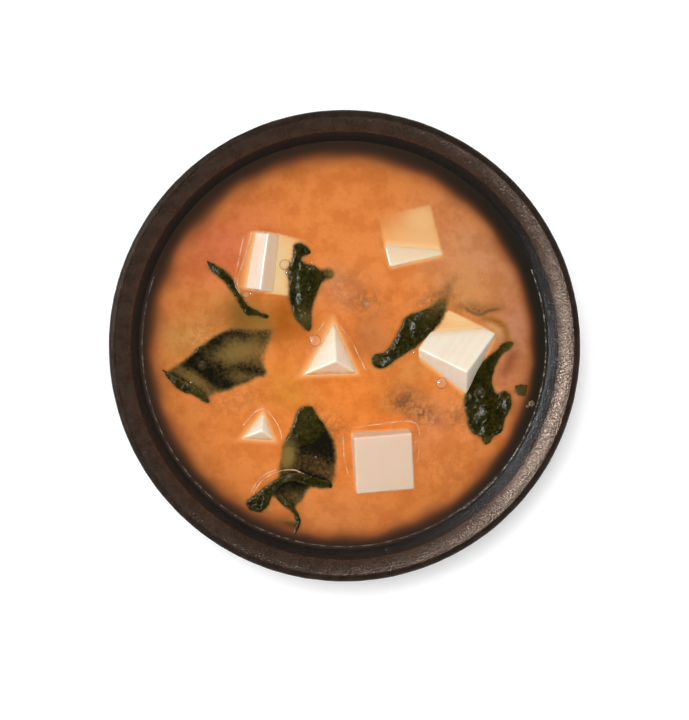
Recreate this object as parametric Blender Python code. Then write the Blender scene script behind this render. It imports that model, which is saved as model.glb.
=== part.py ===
"""Miso soup with tofu cubes and wakame, served in a round stoneware bowl.

Units are metres and +Z is up. The origin is the middle of the bowl's foot, on the table.
"""

import math

import bmesh
import bpy
from mathutils import Matrix, Vector

MM = 0.001
GAP = 0.3 * MM                # clearance between pieces that touch in the real bowl

# Bowl, turned round the Z axis
RIM_HEIGHT = 64.0 * MM
OUTER_RADIUS = 60.0 * MM      # widest, just under the rim
CREST_RADIUS = 58.4 * MM      # top of the rim
BAND_ROUND = 6.4 * MM         # the band inside the rim is a round shoulder of this radius
BAND_FROM = 102.0             # where that arc begins at the crest, in degrees
BAND_TO = 146.6               # and where it meets the steep wall
WALL = 6.0 * MM
FLOOR_HEIGHT = 9.5 * MM       # inside bottom above the table
FOOT_RADIUS = 30.0 * MM
FOOT_WIDTH = 4.0 * MM
FOOT_HEIGHT = 6.0 * MM
FOOT_RECESS = 3.2 * MM
FOOT_ROUND = 0.5 * MM
TURN_STEPS = 60               # facets round the bowl and the soup

# Soup
SOUP_LEVEL = 53.5 * MM
SOUP_RADIUS = 52.2 * MM       # bowl's inner radius at the soup's level

# Tofu: where the middle is, how far the top leans and towards which compass direction
# (degrees from +X), how the cube is turned, and how far its highest corner stands up.
TOFU_SIZE = 15.0 * MM
TOFU_ROUND = 0.45 * MM
TOFU_CUBES = [
    {"middle": (-20.7, 21.1), "lean": 47, "towards": -6, "turn": -9, "rise": 3.8},
    {"middle": (16.8, 26.2), "lean": 17, "towards": 85, "turn": 13, "rise": 1.8, "size": 14.0},
    {"middle": (-3.3, -2.9), "lean": 48, "towards": 150, "turn": 13, "rise": 6.0},
    {"middle": (-22.0, -21.8), "lean": 51, "towards": 141, "turn": 10, "rise": 3.5},
    {"middle": (9.5, -28.6), "lean": 14, "towards": -64, "turn": 4, "rise": 5.4},
    {"middle": (29.2, -3.0), "lean": 36, "towards": 94, "turn": -32, "rise": 8.2, "size": 14.5},
]

# Wakame: thin leaves that float just under the soup's surface. Each row is a place along
# the leaf's middle: x, y, rise above the soup, half width (all in mm) and the cross tilt
# in degrees, which lifts the leaf's left side as seen along it. A cupped leaf's edges
# stand higher than its middle by "cup".
LEAF_THICKNESS = 0.9 * MM
LEAF_STEPS = 2                # steps between two rows
LEAF_ACROSS = 4
EDGE_THINNING = 0.55          # how thick a leaf's edge is, against its middle
WAKAME_LEAVES = [
    {"waves": 2.0, "ruffle": 0.3, "cup": 0.0, "rows": [
        (-10.8, 25.2, 0.3, 1.4, 0), (-11.6, 21.4, 0.5, 1.6, 5), (-9.9, 16.8, 0.5, 4.0, 4),
        (-10.5, 11.8, 0.4, 2.9, 0), (-10.2, 7.6, 0.0, 1.9, 0), (-8.9, 4.0, -0.4, 0.6, 0)]},
    {"waves": 1.0, "ruffle": 0.1, "cup": 0.0, "rows": [
        (-34.8, 21.5, -0.2, 0.6, 0), (-31.3, 18.2, 0.5, 1.0, 10), (-27.9, 14.2, 0.5, 0.9, 10),
        (-24.6, 9.9, 0.2, 1.1, 0), (-20.3, 7.4, -0.5, 0.6, 0)]},
    {"waves": 1.5, "ruffle": 0.3, "cup": 1.0, "rows": [
        (-41.8, -5.0, -0.4, 1.0, 4), (-37.2, -4.6, -1.2, 4.2, 6), (-31.5, -4.4, -2.0, 6.8, 6),
        (-25.0, -3.0, -2.0, 6.2, 4), (-18.8, -1.9, -1.4, 5.2, 2)]},
    {"waves": 1.5, "ruffle": 0.25, "cup": 0.0, "rows": [
        (8.4, -4.4, -0.2, 1.7, 0), (12.4, -1.7, 0.3, 2.4, 0), (16.0, 2.2, 0.5, 2.6, -5),
        (19.9, 6.4, 0.2, 2.3, -8), (25.2, 11.6, -1.6, 1.2, -8)]},
    {"waves": 2.0, "ruffle": 0.35, "cup": 0.0, "rows": [
        (43.3, 0.2, 0.3, 0.7, 0), (38.2, -4.9, 0.7, 1.3, 0), (36.3, -9.6, 0.6, 2.2, 0),
        (37.2, -14.8, 0.4, 4.8, 0), (36.9, -19.5, 0.3, 4.2, 0), (36.4, -24.9, -0.2, 0.9, 0)]},
    {"waves": 1.0, "ruffle": 0.35, "cup": 0.0, "rows": [
        (-10.2, -15.6, 0.4, 1.3, -8), (-9.6, -19.6, 0.4, 3.0, -8), (-8.6, -24.3, 0.0, 5.6, -8),
        (-9.0, -28.6, -1.4, 6.8, -4), (-9.4, -32.6, -2.8, 7.0, 0)]},
    {"waves": 1.0, "ruffle": 0.15, "cup": 0.0, "rows": [
        (-23.6, -41.2, 0.2, 1.3, 10), (-19.2, -37.0, 0.6, 1.1, 20), (-13.2, -33.3, 0.7, 1.0, 20),
        (-8.4, -34.0, 0.5, 1.3, 10), (-3.2, -36.1, -0.2, 1.0, 0)]},
    {"waves": 0.5, "ruffle": 0.1, "cup": 0.0, "rows": [
        (44.6, -10.4, 0.2, 0.9, 0), (45.4, -11.4, 0.3, 1.4, 0), (46.4, -12.6, -0.1, 0.9, 0)]},
    {"waves": 1.0, "ruffle": 0.1, "cup": 0.0, "rows": [
        (-46.0, -6.6, -0.1, 0.5, 0), (-42.6, -9.8, 0.5, 1.2, 5), (-38.6, -11.7, 0.4, 1.0, 5),
        (-34.7, -14.6, -0.1, 0.4, 0)]},
    {"waves": 1.0, "ruffle": 0.1, "cup": 0.0, "rows": [
        (-15.4, -38.4, -0.2, 0.9, 0), (-13.0, -41.2, 0.3, 0.6, 0), (-11.9, -44.6, 0.2, 0.5, 0),
        (-13.2, -47.8, -0.2, 0.4, 0)]},
]


def clear_scene():
    for obj in list(bpy.data.objects):
        bpy.data.objects.remove(obj, do_unlink=True)


def make_material(name, colour, roughness, metallic=0.0):
    material = bpy.data.materials.new(name)
    material.use_nodes = True
    shader = material.node_tree.nodes["Principled BSDF"]
    shader.inputs["Base Color"].default_value = (*colour, 1.0)
    shader.inputs["Roughness"].default_value = roughness
    shader.inputs["Metallic"].default_value = metallic
    return material


def add_object(name, bm, material, smooth_angle=40.0):
    """Turn a bmesh into a named object with outward faces and smooth shading."""
    bmesh.ops.recalc_face_normals(bm, faces=bm.faces)
    mesh = bpy.data.meshes.new(name)
    bm.to_mesh(mesh)
    bm.free()
    mesh.shade_smooth()
    mesh.set_sharp_from_angle(angle=math.radians(smooth_angle))
    mesh.materials.append(material)
    obj = bpy.data.objects.new(name, mesh)
    bpy.context.scene.collection.objects.link(obj)
    return obj


def through(rows, steps_per_span):
    """A smooth Catmull-Rom run through rows of numbers, end rows included."""
    padded = [rows[0]] + list(rows) + [rows[-1]]
    run = []
    for before, start, end, after in zip(padded, padded[1:], padded[2:], padded[3:]):
        for step in range(steps_per_span):
            t = step / steps_per_span
            run.append(tuple(
                0.5 * (2 * b + (c - a) * t + (2 * a - 5 * b + 4 * c - d) * t * t
                       + (3 * b - a - 3 * c + d) * t * t * t)
                for a, b, c, d in zip(before, start, end, after)))
    run.append(tuple(rows[-1]))
    return run


def arc(centre, radius, start, end, steps):
    """Profile points (radius, height) on an arc, angles in degrees."""
    points = []
    for step in range(steps + 1):
        angle = math.radians(start + (end - start) * step / steps)
        points.append((centre[0] + radius * math.cos(angle), centre[1] + radius * math.sin(angle)))
    return points


def band():
    """Round shoulder inside the rim, from the crest down to the top of the wall."""
    turn = math.radians(BAND_FROM)
    centre = (CREST_RADIUS - BAND_ROUND * math.cos(turn), RIM_HEIGHT - BAND_ROUND * math.sin(turn))
    return arc(centre, BAND_ROUND, BAND_FROM, BAND_TO, 3)


def inner_wall():
    """Inside of the bowl, from the band's lower edge down to the middle of the floor."""
    depth = SOUP_LEVEL - FLOOR_HEIGHT
    rows = [
        band()[-1],
        (SOUP_RADIUS, SOUP_LEVEL),
        (0.945 * SOUP_RADIUS, FLOOR_HEIGHT + 0.72 * depth),
        (0.83 * SOUP_RADIUS, FLOOR_HEIGHT + 0.42 * depth),
        (0.60 * SOUP_RADIUS, FLOOR_HEIGHT + 0.15 * depth),
        (0.30 * SOUP_RADIUS, FLOOR_HEIGHT + 0.025 * depth),
        (0.0, FLOOR_HEIGHT),
    ]
    return through(rows, 2)


def outer_wall():
    """Outside of the bowl, from under the rim down to the top of the foot."""
    side = RIM_HEIGHT - FOOT_HEIGHT
    rows = [
        (OUTER_RADIUS, RIM_HEIGHT - 3.6 * MM),
        (0.975 * OUTER_RADIUS, FOOT_HEIGHT + 0.72 * side),
        (SOUP_RADIUS * 0.88 + WALL, FOOT_HEIGHT + 0.42 * side),
        (SOUP_RADIUS * 0.68 + WALL, FOOT_HEIGHT + 0.16 * side),
        (FOOT_RADIUS + 1.2 * MM, FOOT_HEIGHT),
    ]
    return through(rows, 2)


def rim():
    """Rolled lip, from the outer wall over the crest and down the inner shoulder."""
    roll = OUTER_RADIUS - CREST_RADIUS
    return arc((CREST_RADIUS, RIM_HEIGHT - roll), roll, 0, 90, 3) + band()[1:]


def foot_ring():
    inner = FOOT_RADIUS - FOOT_WIDTH
    outside = arc((FOOT_RADIUS - FOOT_ROUND, FOOT_ROUND), FOOT_ROUND, 0, -90, 2)
    inside = arc((inner + FOOT_ROUND, FOOT_ROUND), FOOT_ROUND, -90, -180, 2)
    return outside + inside + [(inner - 0.6 * MM, FOOT_RECESS), (0.0, FOOT_RECESS)]


def turned(profile):
    """Spin a profile of (radius, height) points whose ends lie on the axis."""
    bm = bmesh.new()
    verts = [bm.verts.new((radius, 0.0, height)) for radius, height in profile]
    edges = [bm.edges.new(pair) for pair in zip(verts, verts[1:])]
    bmesh.ops.spin(bm, geom=verts + edges, cent=(0, 0, 0), axis=(0, 0, 1),
                   angle=2 * math.pi, steps=TURN_STEPS, use_merge=True)
    bmesh.ops.remove_doubles(bm, verts=bm.verts, dist=0.001 * MM)
    return bm


def make_bowl(material):
    inside = inner_wall()
    outside = outer_wall()
    profile = inside[::-1] + rim()[::-1][1:] + outside + foot_ring()
    return add_object("bowl", turned(profile), material)


def soup_profile():
    """The bowl's inside moved in by the gap, closed by the flat surface."""
    wall = [point for point in inner_wall() if point[1] <= SOUP_LEVEL + 0.01 * MM]
    moved = [(SOUP_RADIUS - GAP, SOUP_LEVEL)]
    for before, here, after in zip(wall, wall[1:], wall[2:]):
        along = Vector((after[0] - before[0], after[1] - before[1])).normalized()
        moved.append((here[0] + along.y * GAP, here[1] - along.x * GAP))
    return [(0.0, SOUP_LEVEL)] + moved + [(0.0, FLOOR_HEIGHT + GAP)]


def tofu_rotation(cube):
    """Turn the cube about its own upright, then lean its top towards a direction."""
    lean, towards, turn = (math.radians(cube[key]) for key in ("lean", "towards", "turn"))
    aim = Matrix.Rotation(towards, 3, "Z")
    return aim @ Matrix.Rotation(lean, 3, "Y") @ aim.inverted() @ Matrix.Rotation(turn, 3, "Z")


def tofu_place(cube):
    """World matrix of a cube, from how far its highest corner stands above the soup."""
    size = cube.get("size", TOFU_SIZE / MM) * MM
    rotation = tofu_rotation(cube)
    reach = sum(abs(rotation[2][axis]) for axis in range(3)) * size / 2
    height = SOUP_LEVEL + cube["rise"] * MM - reach
    middle = Vector((cube["middle"][0] * MM, cube["middle"][1] * MM, height))
    return Matrix.Translation(middle) @ rotation.to_4x4(), size


def tofu_shape(cube, grow):
    place, size = tofu_place(cube)
    bm = bmesh.new()
    bmesh.ops.create_cube(bm, size=size + 2 * grow)
    bmesh.ops.bevel(bm, geom=bm.edges[:], offset=TOFU_ROUND, segments=2, affect="EDGES",
                    profile=0.5)
    bmesh.ops.transform(bm, matrix=place, verts=bm.verts)
    return bm


def leaf_surface(leaf, grow):
    """Rows of (point, upward normal, thickness) across the leaf, from end to end."""
    rows = through(leaf["rows"], LEAF_STEPS)
    middle = [Vector(row[:3]) * MM + Vector((0, 0, SOUP_LEVEL)) for row in rows]
    last = len(rows) - 1
    surface = []
    for index, row in enumerate(rows):
        along = (middle[min(index + 1, last)] - middle[max(index - 1, 0)]).normalized()
        left = Vector((-along.y, along.x, 0)).normalized()
        left = Matrix.Rotation(math.radians(row[4]), 3, along) @ left
        up = along.cross(left).normalized()
        shift = {0: -grow, last: grow}.get(index, 0.0)
        half = row[3] * MM + grow
        line = []
        for step in range(LEAF_ACROSS + 1):
            side = 2 * step / LEAF_ACROSS - 1
            phase = 2 * math.pi * leaf["waves"] * index / last + 1.3 * side
            lift = (leaf["ruffle"] * math.sin(phase) + leaf["cup"]) * MM * side * side
            thick = LEAF_THICKNESS * (1 - (1 - EDGE_THINNING) * side * side) + 2 * grow
            line.append((middle[index] + along * shift + left * side * half + up * lift, up, thick))
        surface.append(line)
    return surface


def leaf_shape(leaf, grow):
    """Closed thin sheet: an upper and a lower skin joined round their edge."""
    surface = leaf_surface(leaf, grow)
    bm = bmesh.new()
    skins = []
    for direction in (1, -1):
        skins.append([[bm.verts.new(point + up * thick / 2 * direction)
                       for point, up, thick in line] for line in surface])
    for grid in skins:
        for line, following in zip(grid, grid[1:]):
            for a, b, c, d in zip(line, line[1:], following[1:], following):
                bm.faces.new((a, b, c, d))
    upper, lower = ([*grid[0], *[line[-1] for line in grid[1:]], *grid[-1][-2::-1],
                     *[line[0] for line in grid[-2:0:-1]]] for grid in skins)
    for index in range(len(upper)):
        after = (index + 1) % len(upper)
        bm.faces.new((upper[index], lower[index], lower[after], upper[after]))
    return bm


def make_tofu(material):
    return [add_object(f"tofu_{number}", tofu_shape(cube, 0.0), material, 70)
            for number, cube in enumerate(TOFU_CUBES, 1)]


def make_wakame(material):
    return [add_object(f"wakame_{number}", leaf_shape(leaf, 0.0), material)
            for number, leaf in enumerate(WAKAME_LEAVES, 1)]


def cut(obj, name, shape, material):
    """Subtract a hidden cutter from an object."""
    cutter = add_object(name, shape, material)
    cutter.hide_render = True
    cutter.display_type = "WIRE"
    modifier = obj.modifiers.new(name, "BOOLEAN")
    modifier.operation = "DIFFERENCE"
    modifier.solver = "EXACT"
    modifier.object = cutter


def make_soup(material):
    """Liquid up to its level, cut round the tofu and the wakame."""
    soup = add_object("soup", turned(soup_profile()), material)
    for number, cube in enumerate(TOFU_CUBES, 1):
        cut(soup, f"cutter_tofu_{number}", tofu_shape(cube, GAP), material)
    for number, leaf in enumerate(WAKAME_LEAVES, 1):
        cut(soup, f"cutter_wakame_{number}", leaf_shape(leaf, GAP), material)
    return soup


def main():
    clear_scene()
    make_bowl(make_material("stoneware", (0.035, 0.022, 0.016), 0.45))
    make_soup(make_material("miso_broth", (0.68, 0.21, 0.05), 0.12))
    make_tofu(make_material("tofu", (0.90, 0.82, 0.68), 0.45))
    make_wakame(make_material("wakame", (0.022, 0.028, 0.012), 0.3))


main()
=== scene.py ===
import math

import bpy
import numpy as np
from mathutils import Matrix, Vector, noise
from mathutils.bvhtree import BVHTree
from mathutils.geometry import delaunay_2d_cdt


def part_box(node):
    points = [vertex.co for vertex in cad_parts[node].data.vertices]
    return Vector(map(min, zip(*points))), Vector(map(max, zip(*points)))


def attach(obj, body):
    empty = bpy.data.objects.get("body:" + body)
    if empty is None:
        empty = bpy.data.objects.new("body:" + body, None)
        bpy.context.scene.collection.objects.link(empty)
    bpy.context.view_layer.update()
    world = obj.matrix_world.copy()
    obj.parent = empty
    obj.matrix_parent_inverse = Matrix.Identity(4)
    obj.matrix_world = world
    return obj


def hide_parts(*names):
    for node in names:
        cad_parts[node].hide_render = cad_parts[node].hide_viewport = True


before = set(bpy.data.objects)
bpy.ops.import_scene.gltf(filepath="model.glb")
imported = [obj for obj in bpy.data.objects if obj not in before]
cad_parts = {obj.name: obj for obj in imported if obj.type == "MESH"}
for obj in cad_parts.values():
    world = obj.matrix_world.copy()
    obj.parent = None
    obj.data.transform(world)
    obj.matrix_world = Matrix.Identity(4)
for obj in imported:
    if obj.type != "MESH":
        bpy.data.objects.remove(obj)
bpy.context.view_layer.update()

mm = 0.001
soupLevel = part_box("soup")[1].z
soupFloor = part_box("soup")[0].z
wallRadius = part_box("soup")[1].x + 0.3 * mm     # inside of the bowl at the soup's level


# Small helpers that every piece uses

def curveRun(padded, stepsFor):
    # points along a smooth curve through all but the first and last rows
    run = []
    for before, start, end, after in zip(padded, padded[1:], padded[2:], padded[3:]):
        steps = stepsFor(start, end)
        for t in (step / steps for step in range(steps)):
            run.append(tuple(
                0.5 * (2 * b + (c - a) * t + (2 * a - 5 * b + 4 * c - d) * t * t
                       + (3 * b - a - 3 * c + d) * t ** 3)
                for a, b, c, d in zip(before, start, end, after)))
    return run


def smoothRun(rows, steps):
    return curveRun([rows[0], *rows, rows[-1]], lambda start, end: steps) + [tuple(rows[-1])]


def arcRun(centre, radius, start, end, steps):
    angles = [math.radians(start + (end - start) * step / steps) for step in range(steps + 1)]
    return [(centre[0] + radius * math.cos(a), centre[1] + radius * math.sin(a)) for a in angles]


def noiseAt(points, size, seed=0.0):
    # smooth noise, -1 to 1, with features about "size" metres wide
    shift = Vector((seed * 7.13, seed * 3.71, seed * 5.37))
    return np.array([noise.noise(Vector(p) / size + shift) for p in points])


def makePiece(name, verts, faces, material, smooth=True):
    mesh = bpy.data.meshes.new(name)
    mesh.from_pydata([tuple(v) for v in verts], [], [tuple(f) for f in faces])
    mesh.validate()
    mesh.update()
    if smooth:
        mesh.shade_smooth()
    mesh.materials.append(material)
    piece = bpy.data.objects.new(name, mesh)
    bpy.context.scene.collection.objects.link(piece)
    return piece


def joined(parts):
    # several pairs of points and faces as one
    verts, faces = [], []
    for some, more in parts:
        faces += [tuple(i + len(verts) for i in face) for face in more]
        verts += [tuple(v) for v in some]
    return verts, faces


def spot(x, y, wide, high, turn, strength, colour=None):
    # soft oval patch: place and size in mm, turn in degrees
    return {"place": (x, y), "size": (wide, high), "turn": turn, "strength": strength,
            "colour": colour}


def spotWeight(patch, x, y):
    turn = math.radians(patch["turn"])
    dx, dy = x - patch["place"][0] * mm, y - patch["place"][1] * mm
    a = (dx * math.cos(turn) + dy * math.sin(turn)) / (patch["size"][0] * mm)
    b = (-dx * math.sin(turn) + dy * math.cos(turn)) / (patch["size"][1] * mm)
    return patch["strength"] * np.exp(-(a * a + b * b))


def paint(piece, name, values, kind="FLOAT"):
    layer = piece.data.attributes.new(name, kind, "POINT")
    key = {"FLOAT": "value", "FLOAT_VECTOR": "vector", "FLOAT_COLOR": "color"}[kind]
    layer.data.foreach_set(key, np.asarray(values, np.float32).ravel())


def newMaterial(name):
    material = bpy.data.materials.new(name)
    material.use_nodes = True
    return material, material.node_tree, material.node_tree.nodes["Principled BSDF"]


def put(socket, value):
    if isinstance(value, bpy.types.NodeSocket):
        socket.id_data.links.new(value, socket)
    elif isinstance(value, tuple) and len(value) == 3 and socket.type == "RGBA":
        socket.default_value = (*value, 1.0)
    else:
        socket.default_value = value


def fill(node, inputs):
    for key, value in inputs.items():
        put(node.inputs[key], value)


def addNode(tree, kind, inputs=None, **settings):
    made = tree.nodes.new("ShaderNode" + kind)
    for key, value in settings.items():
        setattr(made, key, value)
    fill(made, inputs or {})
    return made


def treeOf(*values):
    return next(v.id_data for v in values if isinstance(v, bpy.types.NodeSocket))


def blendColour(amount, first, second, mode="MIX"):
    made = addNode(treeOf(amount, first, second), "Mix", data_type="RGBA", blend_type=mode)
    fill(made, {0: amount, 6: first, 7: second})
    return made.outputs[2]


def spread(source, low, high, toLow=0.0, toHigh=1.0):
    # "source" from low..high to toLow..toHigh, eased at both ends
    limits = {"Value": source, "From Min": low, "From Max": high, "To Min": toLow,
              "To Max": toHigh}
    return addNode(treeOf(source), "MapRange", limits,
                   interpolation_type="SMOOTHSTEP").outputs["Result"]


def added(first, second):
    return addNode(treeOf(first, second), "Math", {0: first, 1: second}).outputs[0]


def times(first, second):
    return addNode(treeOf(first, second), "Math", {0: first, 1: second},
                   operation="MULTIPLY").outputs[0]


def mark(tree, name, output="Fac"):
    return addNode(tree, "Attribute", attribute_name=name).outputs[output]


def grain(tree, scale, detail=3.0, roughness=0.5, place=None):
    place = place or addNode(tree, "TexCoord").outputs["Object"]
    return addNode(tree, "TexNoise", {"Vector": place, "Scale": scale, "Detail": detail,
                                      "Roughness": roughness}).outputs["Fac"]


def bumps(height, distance, strength=1.0, under=None):
    inputs = {"Height": height, "Distance": distance, "Strength": strength}
    if under:
        inputs["Normal"] = under
    return addNode(treeOf(height), "Bump", inputs).outputs["Normal"]


# Bowl: dark stoneware, matt brown band inside the rim and black glaze below it

bowl = {
    "rimHeight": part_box("bowl")[1].z,
    "outerRadius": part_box("bowl")[1].x,
    "lipRound": 1.6 * mm,
    "bandRound": 6.4 * mm,          # the brown band is a round shoulder inside the rim
    "bandArc": (146.6, 102),        # degrees, from the steep wall up to the crest
    "wall": 6.0 * mm,
    "footRadius": 30.0 * mm,
    "footWidth": 4.0 * mm,
    "footHeight": 6.0 * mm,
    "footRecess": 3.2 * mm,
    "turnSteps": 420,
    "dimples": 0.09 * mm,           # depth of the hand-worked surface
    "bandColour": (0.042, 0.026, 0.018),
    # outside clay, darker than the band: painted shade on the outer roll over the outside's own
    # colour
    "outsideShadedColour": (0.028, 0.019, 0.014),
    "footColour": (0.050, 0.034, 0.024),
    "glazeColour": (0.013, 0.014, 0.014),
    "clayPatch": (0.62, 0.58, 0.55),    # darkens the clay in patches
    "clayFleck": (0.16, 0.12, 0.095),
    "glazeFleck": (0.10, 0.10, 0.10),
    "claySheen": (1.0, 0.76, 0.62),     # colour of the reflections
    "glazeSheen": (0.86, 0.95, 1.0),
    "gloss": (0.45, 0.34),              # clay, glaze
    "roughness": (0.23, 0.13),
    "wallMiddle": 3.2 * mm,             # from the outside to the middle of the rim
}


def bandRun(steps):
    crest, (low, high) = bowl["outerRadius"] - bowl["lipRound"], bowl["bandArc"]
    turn = math.radians(high)
    centre = (crest - bowl["bandRound"] * math.cos(turn),
              bowl["rimHeight"] - bowl["bandRound"] * math.sin(turn))
    return arcRun(centre, bowl["bandRound"], low, high, steps)


def insideRun(steps):
    depth = soupLevel - soupFloor
    return smoothRun([
        bandRun(4)[0],
        (wallRadius, soupLevel),
        (0.945 * wallRadius, soupFloor + 0.72 * depth),
        (0.83 * wallRadius, soupFloor + 0.42 * depth),
        (0.60 * wallRadius, soupFloor + 0.15 * depth),
        (0.30 * wallRadius, soupFloor + 0.025 * depth),
        (0.0, soupFloor - 0.3 * mm)], steps)


def outsideRun(steps):
    side = bowl["rimHeight"] - bowl["footHeight"]
    foot = bowl["footHeight"]
    return smoothRun([
        (bowl["outerRadius"], bowl["rimHeight"] - 3.6 * mm),
        (0.975 * bowl["outerRadius"], foot + 0.72 * side),
        (wallRadius * 0.88 + bowl["wall"], foot + 0.42 * side),
        (wallRadius * 0.68 + bowl["wall"], foot + 0.16 * side),
        (bowl["footRadius"] + 1.2 * mm, foot)], steps)


def bowlProfile():
    # (radius, height, zone); zone 0 glazed inside, 1 band, 2 lip and outside, 3 foot
    lip, outer = bowl["lipRound"], bowl["outerRadius"]
    crest = (outer - lip, bowl["rimHeight"] - lip)
    roll = arcRun(crest, lip, 90, 0, 14)
    band = bandRun(22)[:-1]
    inner = bowl["footRadius"] - bowl["footWidth"]
    soft = 0.5 * mm
    foot = [(bowl["footRadius"], 3.4 * mm)]
    foot += arcRun((bowl["footRadius"] - soft, soft), soft, 0, -90, 5)
    foot += arcRun((inner + soft, soft), soft, -90, -180, 5)
    foot += [(inner - 0.3 * mm, 0.5 * bowl["footRecess"]), (inner - 0.9 * mm, bowl["footRecess"]),
             (0.6 * inner, bowl["footRecess"]), (0.3 * inner, bowl["footRecess"]),
             (0.0, bowl["footRecess"])]
    rows = [(r, z, 0.0) for r, z in insideRun(12)[::-1]]
    rows += [(r, z, 1.0) for r, z in band[1:]]
    rows += [(r, z, 2.0) for r, z in roll]
    rows += [(r, z, 2.0) for r, z in outsideRun(14)]
    rows += [(r, z, 3.0) for r, z in foot]
    return rows


def turned(rows, steps):
    # closed body of revolution; the first and last rows lie on the axis
    angles = np.arange(steps) * 2 * math.pi / steps
    around = np.stack([np.cos(angles), np.sin(angles)], 1)
    verts = [(0.0, 0.0, rows[0][1])]
    for row in rows[1:-1]:
        verts += [(row[0] * c, row[0] * s, row[1]) for c, s in around]
    verts.append((0.0, 0.0, rows[-1][1]))
    last = len(verts) - 1
    faces = [(0, 1 + (i + 1) % steps, 1 + i) for i in range(steps)]
    for ring in range(len(rows) - 3):
        start, after = 1 + ring * steps, 1 + (ring + 1) * steps
        for i in range(steps):
            j = (i + 1) % steps
            faces.append((start + i, start + j, after + j, after + i))
    start = last - steps
    faces += [(start + i, start + (i + 1) % steps, last) for i in range(steps)]
    return np.array(verts), faces


def bowlMaterial():
    material, tree, shader = newMaterial("darkStoneware")
    line = added(mark(tree, "zone"), spread(grain(tree, 160, 4.0), 0.3, 0.7, -0.22, 0.22))
    glazed = spread(line, 0.35, 0.62, 1.0, 0.0)
    outside = spread(line, 1.4, 1.7)
    fine = grain(tree, 3300, 4.0, 0.7)
    patches = grain(tree, 300, 6.0, 0.65)
    # the outside clay colour carries painted shade for the outer roll
    clay = blendColour(outside, bowl["bandColour"], bowl["outsideShadedColour"])
    clay = blendColour(spread(line, 2.5, 2.6), clay, bowl["footColour"])
    clay = blendColour(spread(patches, 0.38, 0.62), clay,
                       blendColour(1.0, clay, bowl["clayPatch"], "MULTIPLY"))
    clay = blendColour(spread(fine, 0.63, 0.72, 0.0, 0.55), clay, bowl["clayFleck"])
    glaze = blendColour(spread(fine, 0.66, 0.74, 0.0, 0.6), bowl["glazeColour"],
                        bowl["glazeFleck"])
    gloss = times(spread(glazed, 0.0, 1.0, *bowl["gloss"]), spread(outside, 0.0, 1.0, 1.0, 0.10))
    relief = bumps(grain(tree, 2200, 3.0, 0.6), 0.22 * mm, 0.9)
    relief = bumps(grain(tree, 1900, 3.0, 0.65), 0.36 * mm, glazed, relief)
    fill(shader, {
        "Base Color": blendColour(glazed, clay, glaze),
        "Roughness": added(spread(glazed, 0.0, 1.0, *bowl["roughness"]),
                           spread(patches, 0.3, 0.7, -0.05, 0.07)),
        # fine grit breaks up the sheen
        "Specular IOR Level": times(gloss, spread(grain(tree, 1900, 3.0, 0.7), 0.38, 0.64,
                                                  0.35, 1.65)),
        "Specular Tint": blendColour(glazed, bowl["claySheen"], bowl["glazeSheen"]),
        "Normal": bumps(fine, 0.10 * mm, 0.9, relief)})
    return material


def makeBowl():
    rows = bowlProfile()
    verts, faces = turned(rows, bowl["turnSteps"])
    zones = np.concatenate([[rows[0][2]]] + [[row[2]] * bowl["turnSteps"] for row in rows[1:-1]]
                           + [[rows[-1][2]]])
    # hand-worked dimples only ever cut into the clay, never below the foot's resting face
    worked = 0.55 * noiseAt(verts, 3.1 * mm, 1) + 0.45 * noiseAt(verts, 1.5 * mm, 2)
    depth = bowl["dimples"] * np.clip(0.5 + worked, 0, 1)
    depth[zones > 2.5] = 0
    radius = np.hypot(verts[:, 0], verts[:, 1])
    away = np.where(radius[:, None] > 1e-6, verts / np.maximum(radius[:, None], 1e-6), 0)
    away[:, 2] = 0
    aim = np.where(zones[:, None] < 0.5, away, -away)
    band = (zones > 0.5) & (zones < 1.5)
    middle = bowl["outerRadius"] - bowl["wallMiddle"]
    aim[band] = 0.6 * away[band] * np.sign(middle - radius[band])[:, None]
    aim[band, 2] = -0.6
    verts = verts + aim * depth[:, None]
    piece = makePiece("bowl_stoneware", verts, [f[::-1] for f in faces], bowlMaterial())
    paint(piece, "zone", zones)
    return piece


bowlPiece = makeBowl()
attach(bowlPiece, "root")
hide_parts("bowl")
print("bowl turned:", len(bowlPiece.data.polygons), "faces")


# Tofu: soft cut cubes, each lying where its core does

tofu = {
    "edgeRound": 0.5 * mm,
    "cells": 30,                    # grid cells along an edge
    "unevenness": 0.10 * mm,
    "pits": 0.035 * mm,
    "colour": (0.90, 0.80, 0.665),
    "veinColour": (0.84, 0.70, 0.53),
    "crumbColour": (0.80, 0.64, 0.47),
    "soakColour": (0.93, 0.60, 0.33),
    "wetColour": (0.86, 0.40, 0.15),
    # how far the broth's colour creeps up each cube
    "soakHeight": {1: 2.5 * mm, 2: 3.0 * mm, 3: 3.2 * mm, 4: 2.4 * mm, 5: 1.8 * mm, 6: 1.8 * mm},
    "soakMost": {3: 1.0, 4: 1.0, 5: 0.1},   # the others stay pale down to the waterline
    # painted shade: paintedShadeColour darkens whole cubes by the amounts in veil
    "paintedShadeColour": (0.72, 0.52, 0.38),
    "paintedShade": {1: 0.85, 2: 0.40, 3: 0.10, 5: 0.80},    # painted shade: a darker, warmer tone over each whole cube
    # broth orange on the sides facing filmAndShadeSide: partly clinging broth, partly painted
    # shade and bounce light from the broth
    "filmAndShadeSide": (0.25, -0.93, 0.0),
    "film": {3: 0.80, 4: 0.70, 5: 0.1},
    "filmHeight": 7.0 * mm,
}


def coreAxes(node):
    # middle, size and the three axes of a cube core, read from its big flat faces
    mesh = node.data
    sized = sorted(mesh.polygons, key=lambda face: -face.area)
    first = sized[0].normal.normalized()
    second = next(f.normal for f in sized if abs(f.normal.dot(first)) < 0.05).normalized()
    third = first.cross(second).normalized()
    axes = np.array([first, second, third])
    places = np.array([v.co for v in mesh.vertices]) @ axes.T
    low, high = places.min(0), places.max(0)
    return (low + high) / 2 @ axes, high - low, axes


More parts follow.
